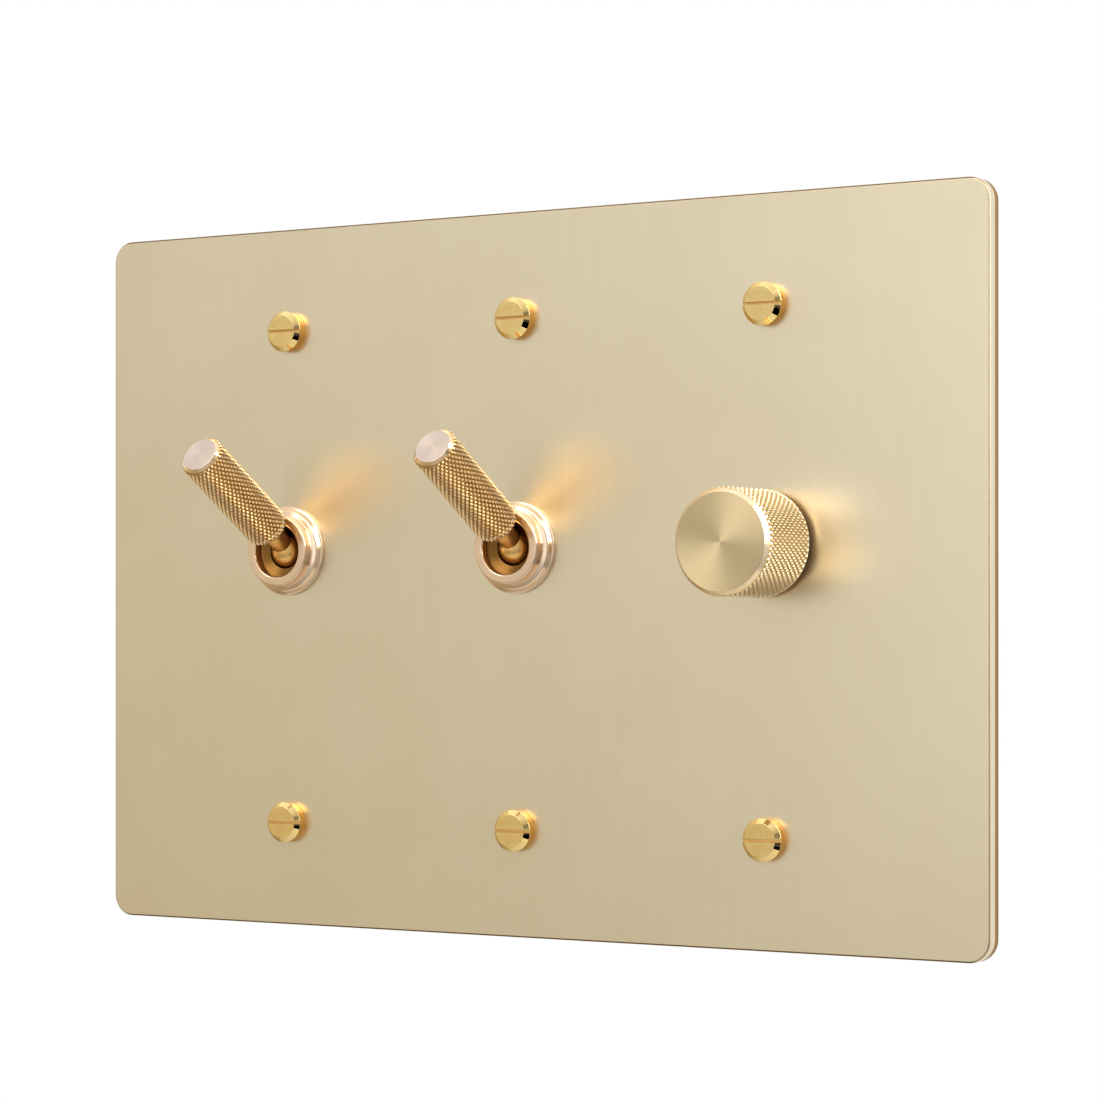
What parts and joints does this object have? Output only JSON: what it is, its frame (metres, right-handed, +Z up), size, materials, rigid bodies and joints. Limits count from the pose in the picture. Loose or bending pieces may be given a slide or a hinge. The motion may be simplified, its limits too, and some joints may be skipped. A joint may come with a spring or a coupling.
{
  "type": "wall switch plate with two toggle switches and a rotary dimmer",
  "caption": "Three-gang satin brass wall plate with knurled toggle switches and a knurled push-and-turn dimmer knob, held to a wall box by slotted screws",
  "frame": {"origin": "centre of the face plate's back face, on the wall plane", "axes": "+X along the plate to the right, +Y into the wall, +Z up"},
  "size_m": [0.168, 0.0582, 0.1182],
  "materials": {
    "plate_brass": "satin brushed, lacquered",
    "polished_brass": "polished",
    "bezel_brass": "fine turned",
    "knurled_brass": "diamond knurled",
    "knob_brass": "diamond knurled with a spun face",
    "turned_brass": "turned",
    "terminal_brass": "milled",
    "silver_contacts": "coined",
    "pressed_steel": "zinc plated",
    "zinc_screws": "zinc plated",
    "pin_steel": "ground",
    "spring_steel": "drawn wire",
    "strap_aluminium": "pressed",
    "black_moulding": "moulded",
    "white_moulding": "moulded",
    "grey_moulding": "moulded",
    "circuit_board": "laminate",
    "choke_winding": "enamelled wire",
    "capacitor_box": "moulded"
  },
  "bodies": {
    "root": {"face_plate": "plate_brass", "plate_screws": "polished_brass", "left_strap": "pressed_steel", "left_bush": "turned_brass", "left_bezel": "bezel_brass", "left_pivot_pin": "pin_steel", "left_common_terminal": "terminal_brass", "left_contact_terminals": "terminal_brass", "left_terminal_screws": "zinc_screws", "left_case": "black_moulding", "left_case_rivets": "zinc_screws", "middle_strap": "pressed_steel", "middle_bush": "turned_brass", "middle_bezel": "bezel_brass", "middle_pivot_pin": "pin_steel", "middle_common_terminal": "terminal_brass", "middle_contact_terminals": "terminal_brass", "middle_terminal_screws": "zinc_screws", "middle_case": "black_moulding", "middle_case_rivets": "zinc_screws", "dimmer_strap": "strap_aluminium", "dimmer_bush": "turned_brass", "dimmer_washer": "zinc_screws", "dimmer_nut": "turned_brass", "dimmer_pot": "grey_moulding", "dimmer_return_spring": "spring_steel", "dimmer_push_switch": "black_moulding", "dimmer_board": "circuit_board", "dimmer_triac": "black_moulding", "dimmer_triac_rivet": "zinc_screws", "dimmer_choke": "choke_winding", "dimmer_capacitor": "capacitor_box", "dimmer_terminals": "terminal_brass", "dimmer_terminal_screws": "zinc_screws", "dimmer_case": "black_moulding", "dimmer_case_screws": "zinc_screws"},
    "left_lever": {"left_lever": "turned_brass", "left_grip": "knurled_brass", "left_plunger": "white_moulding", "left_plunger_spring": "spring_steel"},
    "left_rocker": {"left_rocker": "terminal_brass", "left_rocker_contacts": "silver_contacts"},
    "middle_lever": {"middle_lever": "turned_brass", "middle_grip": "knurled_brass", "middle_plunger": "white_moulding", "middle_plunger_spring": "spring_steel"},
    "middle_rocker": {"middle_rocker": "terminal_brass", "middle_rocker_contacts": "silver_contacts"},
    "dimmer_push": {"dimmer_push_slider": "white_moulding"},
    "dimmer_turn": {"dimmer_knob": "knob_brass", "dimmer_shaft": "pin_steel"}
  },
  "joints": [
    {"name": "left_toggle", "type": "hinge", "parent": "root", "child": "left_lever", "pos_m": [-0.04604, -0.003, 0.0044], "axis": [1, 0, 0], "range_deg": [0, 64]},
    {"name": "left_rock", "type": "hinge", "parent": "root", "child": "left_rocker", "pos_m": [-0.04604, 0.00886, 0.0044], "axis": [1, 0, 0], "range_deg": [-14, 0]},
    {"name": "middle_toggle", "type": "hinge", "parent": "root", "child": "middle_lever", "pos_m": [0, -0.003, 0.0044], "axis": [1, 0, 0], "range_deg": [0, 64]},
    {"name": "middle_rock", "type": "hinge", "parent": "root", "child": "middle_rocker", "pos_m": [0, 0.00886, 0.0044], "axis": [1, 0, 0], "range_deg": [-14, 0]},
    {"name": "dimmer_push", "type": "slide", "parent": "root", "child": "dimmer_push", "axis": [0, 1, 0], "range_m": [0, 0.0012], "stiffness_N_per_m": 600, "springref_m": -0.003, "deforming": ["dimmer_return_spring"]},
    {"name": "dimmer_turn", "type": "hinge", "parent": "dimmer_push", "child": "dimmer_turn", "pos_m": [0.04604, 0, 0.0044], "axis": [0, 1, 0], "range_deg": [-140, 140]}
  ],
  "couplings": [
    {"joint": "left_rock", "follows": "left_toggle", "ratio": -0.21875},
    {"joint": "middle_rock", "follows": "middle_toggle", "ratio": -0.21875}
  ]
}
